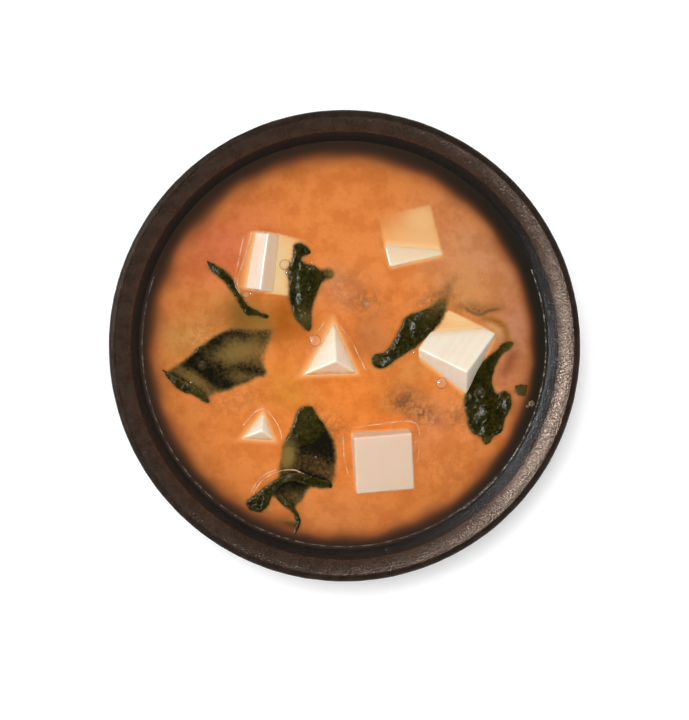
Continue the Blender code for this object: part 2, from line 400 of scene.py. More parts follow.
def cubeShell(half, soft, cells):
    # rounded cube with extra grid lines close to its edges
    inset = soft * (1 - np.cos(np.linspace(0, math.pi / 2, 5))) * 0.999
    stops = np.unique(np.concatenate([np.linspace(-half + soft, half - soft, cells + 1),
                                      -half + inset, half - inset]).round(9))
    verts, faces, known = [], [], {}
    for axis in range(3):
        for side in (-1, 1):
            grid = []
            for a in stops:
                line = []
                for b in stops:
                    point = [0.0, 0.0, 0.0]
                    point[axis] = side * half
                    point[(axis + 1) % 3], point[(axis + 2) % 3] = a, b
                    key = tuple(round(c, 8) for c in point)
                    if key not in known:
                        known[key] = len(verts)
                        inner = np.clip(point, -half + soft, half - soft)
                        away = np.array(point) - inner
                        length = np.linalg.norm(away)
                        verts.append(inner + away / length * soft)
                    line.append(known[key])
                grid.append(line)
            for lower, upper in zip(grid, grid[1:]):
                for i in range(len(stops) - 1):
                    face = (lower[i], upper[i], upper[i + 1], lower[i + 1])
                    faces.append(face if side > 0 else face[::-1])
    return np.array(verts), faces


def tofuMaterial():
    material, tree, shader = newMaterial("softTofu")
    place = mark(tree, "cubePlace", "Vector")
    stretched = addNode(tree, "Mapping", {"Vector": place, "Scale": (1.0, 1.0, 0.12)})
    veins = grain(tree, 900, 4.0, 0.6, stretched.outputs["Vector"])
    crumb = grain(tree, 2200, 5.0, 0.7)
    soak = times(mark(tree, "soak"), spread(grain(tree, 500), 0.2, 0.7, 0.75, 1.1))
    base = tofu["colour"]
    # the veil mix is painted shade over a whole cube
    for amount, colour in ((spread(veins, 0.42, 0.66, 0.0, 0.5), "veinColour"),
                           (spread(crumb, 0.6, 0.75, 0.0, 0.25), "crumbColour"),
                           (mark(tree, "paintedShade"), "paintedShadeColour"), (soak, "soakColour"),
                           (spread(soak, 0.62, 1.05), "wetColour")):
        base = blendColour(amount, base, tofu[colour])
    fill(shader, {"Base Color": base, "Roughness": spread(crumb, 0.3, 0.7, 0.30, 0.48),
                  "Subsurface Weight": 0.7, "Subsurface Radius": (1.0, 0.62, 0.40),
                  "Subsurface Scale": 2.6 * mm, "Normal": bumps(crumb, 0.05 * mm, 0.5)})
    return material


def makeTofu(node, number, material):
    middle, size, axes = coreAxes(node)
    half = float(size.min()) / 2
    local, faces = cubeShell(half, tofu["edgeRound"], tofu["cells"])
    if np.linalg.det(axes) < 0:
        axes[2] = -axes[2]
    outward = local / np.linalg.norm(local, axis=1)[:, None]
    uneven = noiseAt(local, 5.5 * mm, number) * 0.7 + noiseAt(local, 2.2 * mm, number + 9) * 0.3
    crumbs = noiseAt(local, 0.8 * mm, number + 20)
    shift = tofu["unevenness"] * uneven - tofu["pits"] * np.clip(crumbs - 0.25, 0, 1)
    verts = (local + outward * shift[:, None]) @ axes + middle
    piece = makePiece(f"tofu_cube_{number}", verts, faces, material)
    paint(piece, "cubePlace", local, "FLOAT_VECTOR")
    above = verts[:, 2] - soupLevel
    faceOut = np.array([tuple(v.normal) for v in piece.data.vertices])
    filmAndShadeWeight = np.clip(faceOut @ np.array(tofu["filmAndShadeSide"]), 0, 1)     # broth orange painted here: partly clinging broth, partly painted shade and bounce light
    filmAndShadeWeight *= np.clip(1.2 - above / tofu["filmHeight"], 0, 1)
    soak = np.clip(1 - above / tofu["soakHeight"][number], 0, 1) ** 1.6
    soak += tofu["film"].get(number, 0.05) * filmAndShadeWeight * (1 - soak)
    paint(piece, "soak", np.clip(soak, 0, tofu["soakMost"].get(number, 0.55)))
    # painted shade for the whole cube
    paint(piece, "paintedShade", np.full(len(verts), tofu["paintedShade"].get(number, 0.0)))
    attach(piece, "root")
    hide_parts(f"tofu_{number}")
    return piece


tofuLook = tofuMaterial()
tofuPieces = [makeTofu(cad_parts[f"tofu_{n}"], n, tofuLook) for n in range(1, 7)]
print("tofu cut:", len(tofuPieces), "cubes")


# Wakame: thin leaves; outline and heights (x, y, rise above the soup) in millimetres

wakame = {
    "thickness": 0.32 * mm,
    "cell": 0.42 * mm,
    "borderStep": 0.35,             # mm between points along a leaf's border
    "ragged": 0.36 * mm,
    "darkColour": (0.008, 0.008, 0.001),
    "leafColour": (0.032, 0.026, 0.001),
    "oliveColour": (0.170, 0.115, 0.030),
    "leaves": {
    1: {"crinkle": 0.55, "outline": [
        (-12.9, 25.6), (-10.9, 25.9), (-8.3, 23.8), (-10.2, 23.3), (-11.2, 21.8), (-10.0, 20.7),
        (-7.6, 20.4), (-6.0, 19.0), (-4.0, 19.6), (-2.4, 18.9), (-2.9, 17.2), (-5.2, 16.8),
        (-6.3, 15.0), (-7.4, 12.6), (-8.5, 9.5), (-8.4, 6.9), (-8.5, 4.3), (-9.4, 3.8),
        (-11.2, 5.7), (-13.0, 8.5), (-13.6, 11.1), (-14.1, 14.1), (-13.7, 16.6), (-14.5, 19.2),
        (-13.0, 21.4), (-12.6, 23.4)],
        "heights": [
        (-11, 25, 0.2), (-12, 21.5, 0.5), (-10, 17, 0.8), (-10.5, 12, 0.7), (-10.8, 8, 0.3),
        (-9, 4.2, 0.15), (-4, 18.4, -0.45), (-8.4, 19.6, 0.2)]},
    2: {"crinkle": 0.25, "outline": [
        (-34.8, 21.6), (-32.7, 20.3), (-30.3, 18.9), (-28.7, 17.0), (-27.2, 14.2), (-25.6, 11.2),
        (-23.6, 9.4), (-21.3, 8.5), (-19.2, 7.4), (-20.3, 7.0), (-22.3, 7.7), (-24.6, 7.8),
        (-25.9, 9.5), (-27.3, 11.8), (-28.8, 14.4), (-30.8, 16.8), (-32.8, 18.4), (-34.4, 20.0)],
        "heights": [
        (-34.5, 21, -0.05), (-31, 18, 0.5), (-27.5, 13.6, 0.45), (-24.6, 9.2, 0.2),
        (-20, 7.5, -0.15)]},
    3: {"crinkle": 0.3, "outline": [
        (-41.5, -5.0), (-38.4, -1.7), (-35.3, 0.8), (-32.0, 3.0), (-28.8, 4.3), (-24.9, 4.2),
        (-20.5, 4.2), (-17.8, 4.4), (-18.4, 2.2), (-19.0, 0.2), (-20.0, -2.6), (-20.6, -4.8),
        (-19.5, -7.5), (-22.3, -8.2), (-25.7, -9.8), (-29.1, -11.2), (-31.9, -11.8), (-34.8, -9.0),
        (-38.0, -6.9)],
        "heights": [
        (-41, -5, -0.25), (-37, -1, -0.15), (-33, 1, -0.2), (-27, 3, -0.45), (-20, 3, -0.75),
        (-36, -5, -0.15), (-31, -3, -0.75), (-25, -2, -1.05), (-20.5, -3, -1.3), (-31, -10, -0.35),
        (-25, -7.5, -0.4), (-20, -6.8, -0.35)]},
    4: {"crinkle": 0.5, "outline": [
        (7.3, -3.6), (7.9, -2.5), (10.4, -1.9), (12.2, -0.3), (13.6, 2.2), (14.9, 5.3),
        (16.6, 7.6), (18.9, 8.4), (22.3, 9.8), (24.6, 12.2), (26.6, 13.0), (26.9, 11.0),
        (25.9, 8.1), (24.3, 5.6), (21.6, 2.6), (19.0, 0.3), (16.7, -1.6), (13.6, -3.2),
        (11.2, -5.1), (9.1, -5.9), (7.7, -5.0)],
        "heights": [
        (8.5, -4, 0.05), (11.5, -3, 0.6), (15, 1, 0.8), (18.5, 4.5, 0.7), (21.5, 5.5, 0.4),
        (24.5, 9.5, -0.45), (26, 12, -0.9), (18, 8, -0.2)]},
    5: {"crinkle": 0.8, "outline": [
        (43.4, 0.9), (43.1, -0.6), (41.1, -1.6), (39.3, -4.0), (38.3, -6.7), (37.8, -9.3),
        (38.5, -11.6), (39.5, -13.6), (40.2, -12.2), (41.1, -11.7), (42.5, -12.8), (43.0, -14.9),
        (42.3, -17.0), (41.1, -19.0), (40.3, -22.3), (38.3, -23.1), (37.3, -25.1), (36.2, -25.4),
        (35.2, -23.5), (33.4, -22.6), (32.1, -20.4), (31.6, -17.6), (31.0, -14.4), (31.5, -11.9),
        (32.9, -8.9), (34.8, -5.5), (36.8, -3.3), (39.6, -1.1), (41.6, 0.8)],
        "heights": [
        (42.6, 0.2, 0.1), (39, -3, 0.6), (36, -7, 0.8), (34.5, -12, 0.5), (32.3, -16, 0.1),
        (37, -16, 1.0), (34, -21, 0.2), (36.6, -23, 0.6), (36.8, -25, 0.1), (41.5, -15, 0.6),
        (39.6, -20.5, 0.35), (39.6, -14.8, -0.1)]},
    6: {"crinkle": 0.3, "outline": [
        (-12.2, -18.4), (-11.7, -17.0), (-10.3, -15.7), (-8.2, -15.8), (-6.9, -18.0),
        (-4.1, -21.8), (-2.5, -24.5), (-1.9, -27.6), (-1.9, -31.4), (-2.4, -34.6), (-5.5, -34.9),
        (-9.4, -33.6), (-13.0, -33.2), (-16.6, -33.4), (-16.8, -31.7), (-15.9, -28.0),
        (-15.4, -25.2), (-14.1, -23.2), (-12.9, -20.4)],
        "heights": [
        (-10, -16.5, 0.4), (-11, -20, 0.5), (-12.5, -24, 0.3), (-8, -22, 0.15), (-4.5, -24, -0.3),
        (-3, -28, -0.35), (-15, -28, -0.45), (-11, -29, -0.75), (-7, -30, -0.8), (-3.4, -33, -0.9),
        (-15, -32, -0.7)]},
    7: {"crinkle": 0.35, "outline": [
        (-25.0, -40.5), (-22.6, -38.6), (-20.2, -36.5), (-17.5, -34.5), (-14.1, -32.9),
        (-11.7, -32.5), (-9.3, -33.2), (-6.5, -34.2), (-3.4, -35.0), (-3.1, -36.4), (-5.9, -36.3),
        (-9.3, -35.7), (-11.7, -35.0), (-14.4, -34.9), (-16.8, -36.5), (-18.4, -38.6),
        (-19.4, -41.0), (-21.5, -42.5), (-23.7, -42.3)],
        "heights": [
        (-24, -41.2, 0.1), (-21, -39.6, 0.5), (-18.5, -36.4, 0.8), (-14, -33.9, 1.0),
        (-10, -34.2, 0.8), (-6, -35.2, 0.4), (-3.4, -35.8, -0.1)]},
    8: {"crinkle": 0.2, "outline": [
        (43.9, -11.0), (44.0, -10.4), (44.4, -10.3), (46.5, -10.2), (47.0, -10.3), (47.0, -10.9),
        (46.5, -12.6), (46.2, -13.0), (45.0, -12.9), (44.7, -12.6)],
        "heights": [(44.5, -11, 0.05), (46, -12, 0.2), (46.6, -10.8, -0.1)]},
    9: {"crinkle": 0.3, "outline": [
        (-46.4, -6.3), (-43.8, -7.3), (-41.5, -8.7), (-38.4, -10.4), (-36.0, -12.2),
        (-34.4, -14.5), (-36.0, -14.1), (-38.4, -12.4), (-40.8, -12.0), (-42.3, -11.1),
        (-44.3, -8.8)],
        "heights": [
        (-46, -6.6, -0.1), (-42.5, -9.5, 0.35), (-38.5, -11.4, 0.35), (-35, -14, 0.05)]},
    10: {"crinkle": 0.15, "outline": [
        (-16.8, -38.2), (-15.6, -38.6), (-13.9, -40.4), (-12.0, -42.6), (-11.1, -45.3),
        (-12.1, -48.1), (-12.8, -47.9), (-12.0, -45.3), (-12.9, -43.0), (-14.9, -41.2),
        (-16.8, -39.5)],
        "heights": [
        (-16, -38.8, 0.1), (-13.4, -41.6, 0.35), (-11.6, -45, 0.2), (-12.4, -47.8, -0.1)]},
    },
    # where the weed is thin and pale
    "paleSpots": [
        spot(-26.6, -1.4, 7, 3.2, 12, 0.95), spot(-14.6, -28.2, 2.4, 3.8, 0, 1.1),
        spot(-10, -20.2, 3.0, 3.6, 0, 0.1), spot(-26.8, -7.8, 4.0, 2.2, -15, 0.5),
        spot(-9.9, 7, 1.7, 2.4, 0, 0.4), spot(-3.4, 18.3, 2.2, 1.6, 0, 0.55),
        spot(-12.6, -38.6, 4, 2.2, 0, 0.45), spot(24.5, 10.8, 4, 2.4, 45, 0.55),
        spot(8.3, -3.4, 1.1, 1.0, 0, 0.35), spot(42.6, -4.0, 2.2, 4.5, -20, 0.9),
        spot(45.6, -11.6, 2.4, 2.4, 0, 0.35), spot(-38.6, -8.6, 5.5, 1.8, -35, 0.7),
        spot(36.4, -24.4, 1.2, 1.2, 0, 0.35),
    ],
    # thin sheets of the same weed that stay under the surface
    "sunken": [
    {"crinkle": 0.2, "outline": [
        (-44.6, -6.4), (-41.6, -4.6), (-37.5, -6.6), (-34.6, -9.0), (-32.4, -12.0), (-35.4, -13.2),
        (-38.6, -10.6), (-42.0, -8.6)],
        "heights": [(-43, -6.4, -0.7), (-38, -8.4, -0.8), (-34.5, -11.6, -0.9)]},
    {"crinkle": 0.25, "outline": [
        (-18.6, -37.6), (-15.5, -35.2), (-12.6, -34.6), (-9.0, -35.4), (-9.9, -38.2),
        (-11.4, -40.6), (-13.6, -40.9), (-15.2, -39.2)],
        "heights": [(-17, -37, -0.4), (-12, -36, -0.35), (-12, -39.6, -0.45)]},
    {"crinkle": 0.2, "outline": [
        (-21.6, -46.0), (-17.0, -44.9), (-13.0, -45.2), (-12.2, -47.6), (-15.6, -49.4),
        (-20.2, -48.8)],
        "heights": [(-20, -46.6, -1.0), (-14, -46, -0.5), (-15, -48.6, -0.7)]},
    {"crinkle": 0.2, "outline": [
        (29.9, 10.9), (31.7, 9.6), (34.3, 7.8), (35.6, 7.7), (37.5, 9.0), (38.8, 9.5), (41.6, 9.8),
        (41.0, 12.4), (36.6, 14.4), (31.4, 13.8)],
        "heights": [
        (32, 9.9, -1.0), (35, 8.1, -0.85), (38, 9.4, -1.0), (41.4, 10, -1.5), (37, 12, -3.4),
        (32, 13, -4.2), (38, 14.4, -4.6)]},
    {"crinkle": 0.3, "outline": [
        (-26.0, 8.6), (-22.4, 7.4), (-19.4, 6.6), (-18.2, 5.0), (-20.4, 4.0), (-26.0, 4.2),
        (-30.0, 5.6), (-28.6, 8.2)],
        "heights": [(-25, 7.6, -2.9), (-20, 6, -2.5), (-28, 6, -3.2), (-22, 4.6, -2.2)]},
    ],
}


def inOutline(outline, points):
    inside = np.zeros(len(points), bool)
    x, y = points[:, 0], points[:, 1]
    for (ax, ay), (bx, by) in zip(outline, np.roll(outline, -1, axis=0)):
        crosses = (ay > y) != (by > y)
        edge = (bx - ax) * (y - ay) / np.where(by == ay, 1e-12, by - ay) + ax
        inside ^= crosses & (x < edge)
    return inside


def toOutline(outline, points, closed=True):
    # distance from each point to the outline
    best = np.full(len(points), np.inf)
    outline = np.array(outline)
    ends = np.roll(outline, -1, axis=0)
    for a, b in list(zip(outline, ends))[:None if closed else -1]:
        along = b - a
        t = np.clip(((points - a) @ along) / max(along @ along, 1e-18), 0, 1)
        best = np.minimum(best, np.linalg.norm(points - a - t[:, None] * along, axis=1))
    return best


def leafSheet(leaf, seed):
    # triangles across a ragged outline, lifted through the leaf's heights and crinkled
    corners = leaf["outline"]
    outline = np.array(curveRun(
        [corners[-1], *corners, *corners[:2]],
        lambda start, end: max(2, int(math.dist(start, end) / wakame["borderStep"])))) * mm
    flat = np.column_stack([outline, np.zeros(len(outline))])
    outline[:, 0] += wakame["ragged"] * noiseAt(flat, 0.9 * mm, seed)
    outline[:, 1] += wakame["ragged"] * noiseAt(flat, 0.9 * mm, seed + 4)
    low, high = outline.min(0), outline.max(0)
    cell = wakame["cell"]
    grid = np.array([(x + (row % 2) * cell / 2, y)
                     for row, y in enumerate(np.arange(low[1], high[1], cell * 0.87))
                     for x in np.arange(low[0], high[0], cell)])
    grid = grid[inOutline(outline, grid)]
    if len(grid):
        grid = grid[toOutline(outline, grid) > 0.35 * cell]
    every = np.vstack([outline, grid]) if len(grid) else outline
    count = len(outline)
    edges = [(i, (i + 1) % count) for i in range(count)]
    places, _, faces, *_ = delaunay_2d_cdt([Vector(p) for p in every], edges, [], 1, 1e-7)
    places = np.array([tuple(p) for p in places])
    heights = np.array(leaf["heights"], float)
    gaps = np.linalg.norm(places[:, None] / mm - heights[None, :, :2], axis=2)
    weights = 1 / (gaps ** 2.2 + 0.3)
    rise = (weights * heights[:, 2]).sum(1) / weights.sum(1)
    flat = np.column_stack([places, np.zeros(len(places))])
    inset = toOutline(outline, places) / mm
    folds = 1 - 2 * np.abs(noiseAt(flat, 3.4 * mm, seed + 1))
    crinkle = leaf["crinkle"] * (0.55 * folds - 0.25 + 0.5 * noiseAt(flat, 1.6 * mm, seed + 2)
                                 + 0.38 * noiseAt(flat, 0.8 * mm, seed + 3))
    calm = np.clip(rise / 0.5, 0.10, 1)                  # sunken parts lie smoother
    rise = rise + crinkle * np.clip(0.35 + inset, 0, 1) * calm
    return np.column_stack([places, soupLevel + rise * mm]), [tuple(f) for f in faces], inset


def leafBody(verts, faces, thickness):
    # upper and lower skins joined along the border
    normals = np.zeros_like(verts)
    for a, b, c in ((f[0], f[i], f[i + 1]) for f in faces for i in range(1, len(f) - 1)):
        up = np.cross(verts[b] - verts[a], verts[c] - verts[a])
        up = up if up[2] > 0 else -up
        for corner in (a, b, c):
            normals[corner] += up
    normals /= np.maximum(np.linalg.norm(normals, axis=1), 1e-20)[:, None]
    upper, lower = verts + normals * thickness / 2, verts - normals * thickness / 2
    count, seen, tops = len(verts), {}, []
    for face in faces:
        a, b, c = (verts[i] for i in face[:3])
        turn = np.cross(b - a, c - a)[2]
        face = face if turn > 0 else face[::-1]
        tops.append(face)
        for pair in zip(face, face[1:] + face[:1]):
            seen[pair] = True
    skins = tops + [tuple(i + count for i in face[::-1]) for face in tops]
    for a, b in seen:
        if (b, a) not in seen:
            skins.append((b, a, a + count, b + count))
    return np.vstack([upper, lower]), skins


def wakameMaterial():
    material, tree, shader = newMaterial("wetWakame")
    veins = grain(tree, 900, 5.0, 0.65)
    base = blendColour(spread(veins, 0.35, 0.65), wakame["darkColour"], wakame["leafColour"])
    thin = times(spread(mark(tree, "edge"), 0.0, 0.7, 1.0, 0.0),
                 spread(grain(tree, 260, 5.0, 0.6), 0.42, 0.62))
    thin = added(times(thin, 0.25), mark(tree, "pale"))
    relief = bumps(grain(tree, 620, 5.0, 0.65), 0.60 * mm, 0.7)
    fill(shader, {"Base Color": blendColour(thin, base, wakame["oliveColour"]),
                  "Roughness": spread(veins, 0.3, 0.7, 0.10, 0.30), "IOR": 1.36,
                  "Specular IOR Level": 0.24,
                  "Normal": bumps(grain(tree, 3200, 4.0), 0.05 * mm, 0.5, relief)})
    return material


def paleness(x, y):
    return np.max([spotWeight(patch, x, y) for patch in wakame["paleSpots"]], axis=0)


wakameLook = wakameMaterial()
leafSkins = []                  # sheets for the soup to look at
for number, leaf in wakame["leaves"].items():
    sheet, sheetFaces, inset = leafSheet(leaf, number * 3.1)
    leafSkins.append((sheet, sheetFaces))
    verts, faces = leafBody(sheet, sheetFaces, wakame["thickness"])
    piece = makePiece(f"wakame_leaf_{number}", verts, faces, wakameLook)
    paint(piece, "edge", np.tile(inset, 2))
    paint(piece, "pale", paleness(verts[:, 0], verts[:, 1]))
    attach(piece, "root")
    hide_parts(f"wakame_{number}")
sunkenBodies = []
for number, leaf in enumerate(wakame["sunken"]):
    sheet, sheetFaces, _ = leafSheet(leaf, 50 + number)
    leafSkins.append((sheet, sheetFaces))
    sunkenBodies.append(leafBody(sheet, sheetFaces, wakame["thickness"]))
sunkenPiece = makePiece("wakame_sunken", *joined(sunkenBodies), wakameLook)
paint(sunkenPiece, "edge", np.zeros(len(sunkenPiece.data.vertices)))
paint(sunkenPiece, "pale", np.full(len(sunkenPiece.data.vertices), 0.5))
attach(sunkenPiece, "root")
print("wakame laid:", len(wakame["leaves"]), "leaves and", len(wakame["sunken"]), "sunken sheets")


# Soup: cloudy broth. What lies under the surface tints it by how deep it lies.

soup = {
    "cells": 280,
    "intoWall": 0.4 * mm,
    "tofuRise": (0.40 * mm, 1.60 * mm),      # height and reach of the curved edge of the liquid
    "leafRise": (0.14 * mm, 0.90 * mm),
    "wallRise": (0.35 * mm, 0.90 * mm),
    "tofuSight": 1.3 * mm,                   # how deep tofu still shows, and leaves
    "leafSight": 1.3 * mm,
    "tofuReach": 16 * mm,                    # how far down the look for them goes
    "leafReach": 9 * mm,
    "colour": (0.73, 0.232, 0.055),
    "cloudTint": (0.84, 0.74, 0.62),         # dim the broth in clouds and in fine grains
    "grainTint": (0.78, 0.66, 0.55),
    "creamColour": (0.86, 0.50, 0.25),
    "clearColour": (0.79, 0.56, 0.27),
    "glowColour": (0.84, 0.33, 0.10),
    "amberColour": (0.82, 0.55, 0.25),
    "dregsColour": (0.16, 0.070, 0.030),
    "dregsPale": (0.76, 0.40, 0.20),
    "leafDark": (0.007, 0.006, 0.003),
    "leafBrown": (0.20, 0.11, 0.030),
    "leafPale": (0.21, 0.135, 0.036),
    "wallShadeDimming": 0.20,                        # painted shade: how much dimmer the broth is beside the wall
    # painted shade where the broth meets the wall, partly the dark glaze seen through shallow
    # broth
    "wallShadeBrown": (0.24, 0.075, 0.026),
    "wallShadeDark": (0.038, 0.021, 0.013),
    "wallShadeBlack": (0.014, 0.013, 0.009),
    "wallWidth": (4.7, 0.1, 0.55),           # mm of painted shade at the edge: all round, more right, more far
    "farWallShadeWidth": 3.6 * mm,
    "farWallShadeSide": 8,                        # degrees, right of the bowl
    # broad tints: place and size in mm, turn in degrees
    "tints": [
        spot(4, -12, 26, 17, 0, 0.65, (0.84, 0.235, 0.035)),    # warm middle
        spot(2, 9, 13, 8, 10, 0.6, (0.74, 0.22, 0.05)),
        spot(33, 24, 16, 12, -40, 0.85, (0.6, 0.27, 0.125)),    # paler, pinkish far right
        spot(43, 2, 6, 15, 0, 0.9, (0.55, 0.24, 0.135)),
        # painted shade: darker, redder broth beside the upper-left wall, under the rim
        spot(-32, 24, 14, 10, 40, 0.75, (0.63, 0.155, 0.075)),
        spot(-36, 8, 10, 9, 0, 0.7, (0.68, 0.26, 0.07)),
        spot(-40, 1, 7, 6, 0, 0.75, (0.58, 0.28, 0.075)),
        spot(-24, 7, 8, 4.5, -20, 0.9, (0.2, 0.115, 0.019)),    # olive glow over a sunken leaf
        spot(-14.5, 7.5, 5.5, 7, 20, 0.9, (0.36, 0.1, 0.006)),    # clear amber pocket
        spot(-14, -12, 7, 5, -30, 0.7, (0.62, 0.24, 0.03)),
        spot(-1, 15, 7, 5, 0, 0.55, (0.66, 0.27, 0.12)),    # stirred-up cloud
        spot(17, -6, 7, 4, 20, 0.7, (0.6, 0.25, 0.06)),
        spot(7.5, 1.5, 6, 7, 0, 0.85, (0.49, 0.165, 0.05)),
        spot(17.2, -15.0, 6, 4, -20, 0.85, (0.38, 0.135, 0.032)),
        spot(24, -20, 8, 8, 0, 0.55, (0.7, 0.27, 0.115)),
        spot(-6, -44, 14, 6, 10, 0.4, (0.66, 0.24, 0.085)),
        spot(31, 14, 9, 6, 0, 0.7, (0.55, 0.25, 0.085)),
    ],
    # thin things under the surface, drawn as soft lines: width, strength, colour, run
    "strokes": [
        (1.0, 0.95, (0.36, 0.14, 0.025), [    # amber skin at a cube's corner
            (34.0, 6.3), (37.9, 6.5), (41.0, 4.9), (41.9, 2.3), (41.5, -0.4)]),
        (0.8, 0.8, (0.7, 0.4, 0.14), [(36.0, 5.4), (39.0, 4.2), (40.0, 2.0)]),
        (1.5, 0.8, (0.33, 0.095, 0.035), [    # thin brown edge of a leaf
            (43.4, -0.8), (43.0, -3.5), (41.6, -6.5), (40.4, -9.0)]),
        (0.55, 0.8, (0.09, 0.055, 0.025), [
            (30.1, 10.7), (32.6, 8.6), (35.2, 7.8), (37.3, 8.8), (40.9, 9.5)]),
        (1.3, 0.55, (0.2, 0.11, 0.045), [(24.6, 12.0), (26.5, 14.2), (27.4, 17.0)]),
        (1.6, 0.7, (0.1, 0.045, 0.018), [(-13.0, -45.0), (-17.0, -46.4), (-22.0, -46.2)]),
        (0.5, 0.7, (0.1, 0.05, 0.02), [(4.2, 11.2), (5.6, 9.6), (5.0, 8.6)]),
        (0.5, 0.5, (0.3, 0.1, 0.05), [(47.4, -12.0), (46.6, -15.6), (44.4, -18.8)]),
    ],
    # where the broth is clearer and tofu shows from deeper down
    "clear": [
        spot(-13, 19, 8, 12, 0, 1.3), spot(30, 10, 9, 6, 0, 1.3), spot(20, 33, 8, 9, 0, 0.7),
    ],
    # dregs: dark grains gathered in loose drifts
    "dregs": [
        spot(16.5, -14.4, 5.0, 3.0, -20, 0.9), spot(15.5, -15.0, 4.2, 2.8, -20, 1.0),
        spot(21.0, -17.4, 4.0, 2.6, -30, 1.0), spot(4.5, 11.5, 6.0, 3.2, -20, 0.6),
        spot(0, 15, 7.0, 4.0, 0, 0.35), spot(23, 11.5, 5.5, 3.0, 40, 0.8),
        spot(30, -18, 5, 5, 0, 0.5), spot(30, 9, 4, 3, 0, 0.5), spot(-28, -14, 10, 4, 15, 0.35),
        spot(-36, 3, 8, 4, 40, 0.35), spot(-4, -20, 3, 6, 30, 0.6), spot(26, -32, 12, 8, 30, 0.2),
    ],
}


def waterline(piece):
    # where a cube's faces meet the soup's level, as a closed outline
    middle, size, axes = coreAxes(piece)
    half = size / 2
    corners = {signs: middle + (np.array(signs) * half) @ axes
               for signs in ((a, b, c) for a in (-1, 1) for b in (-1, 1) for c in (-1, 1))}
    found = []
    for signs, here in corners.items():
        for axis in range(3):
            if signs[axis] < 0:
                other = corners[tuple(-s if i == axis else s for i, s in enumerate(signs))]
                if (here[2] - soupLevel) * (other[2] - soupLevel) < 0:
                    t = (soupLevel - here[2]) / (other[2] - here[2])
                    found.append((here + t * (other - here))[:2])
    found = np.array(found)
    centre = found.mean(0)
    return found[np.argsort(np.arctan2(*(found - centre).T[::-1]))]


def wetRise(where, gap):
    height, reach = soup[where]
    return height * np.exp(-gap / reach)


def discGrid(cells):
    # a square grid pulled out to a disc of radius 1
    line = np.linspace(-1, 1, cells + 1)
    u, v = np.meshgrid(line, line, indexing="ij")
    x, y = u * np.sqrt(1 - v * v / 2), v * np.sqrt(1 - u * u / 2)
    index = np.arange((cells + 1) ** 2).reshape(cells + 1, cells + 1)
    faces = np.stack([index[:-1, :-1], index[1:, :-1], index[1:, 1:], index[:-1, 1:]], -1)
    border = np.concatenate([index[:-1, 0], index[-1, :-1], index[:0:-1, -1], index[0, :0:-1]])
    return np.column_stack([x.ravel(), y.ravel()]), faces.reshape(-1, 4), border


def rayTree(pieces):
    return BVHTree.FromPolygons(*joined(
        ([v.co for v in piece.data.vertices], [f.vertices for f in piece.data.polygons])
        for piece in pieces))


def seenBelow(tree, points, sight, tilts, limit):
    # how strongly something under each point shows through, 0 to 1
    seen = np.zeros(len(points))
    for i, (x, y, z) in enumerate(points):
        here = Vector((x, y, z + 0.05 * mm))
        if tree.ray_cast(here, Vector((0, 0, 1)), limit)[0] is not None:
            seen[i] = 1                                  # it stands out of the soup here
            continue
        for tilt, share in tilts:
            hit = tree.ray_cast(here, tilt, limit)[0]
            if hit is not None:
                seen[i] += share * math.exp(-max(0.0, z - hit.z) / sight)
    return seen


def soften(values, passes):
    side = soup["cells"] + 1
    field = values.reshape(side, side)
    for _ in range(passes):
        field = np.pad(field, 1, mode="edge")
        field = (field[:-2] + 2 * field[1:-1] + field[2:]) / 4
        field = (field[:, :-2] + 2 * field[:, 1:-1] + field[:, 2:]) / 4
    return field.ravel()


def coneTilts(slope, count):
    turns = [2 * math.pi * (i + 0.5) / count for i in range(count)]
    ring = [Vector((slope * math.cos(t), slope * math.sin(t), -1)).normalized() for t in turns]
    return [(Vector((0, 0, -1)), 0.4)] + [(tilt, 0.6 / count) for tilt in ring]


def soupSurface():
    flat, faces, border = discGrid(soup["cells"])
    places = flat * (wallRadius + soup["intoWall"])
    x, y = places.T
    level = np.column_stack([x, y, 0 * x])
    inward = wallRadius - np.hypot(x, y)
    # gentle rise where the liquid wets the wall, the cubes and the leaves
    rise = wetRise("wallRise", np.clip(inward + 0.12 * mm * noiseAt(level, 6 * mm, 31), 0, None))
    for number in range(1, 7):
        outline = waterline(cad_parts[f"tofu_{number}"])
        gap = toOutline(outline, places)
        gap = np.where(inOutline(outline, places), 1.2 * gap, gap)
        rise = np.maximum(rise, wetRise("tofuRise", gap))

    def standsOut(sheet, face):
        return all(sheet[i, 2] > soupLevel + 0.05 * mm for i in face)

    outTree = BVHTree.FromPolygons(*joined(
        (sheet, [face for face in sheetFaces if standsOut(sheet, face)])
        for sheet, sheetFaces in leafSkins))
    found = [outTree.find_nearest(Vector((a, b, soupLevel)), 3 * soup["leafRise"][1])[3]
             for a, b in places]
    toLeaf = np.array([np.inf if gap is None else gap for gap in found])
    rise = np.maximum(rise, wetRise("leafRise", toLeaf))
    ripple = 0.03 * mm * noiseAt(level, 9 * mm, 5)
    level[:, 2] = soupLevel - 0.02 * mm + rise + ripple
    return level, faces, border, inward


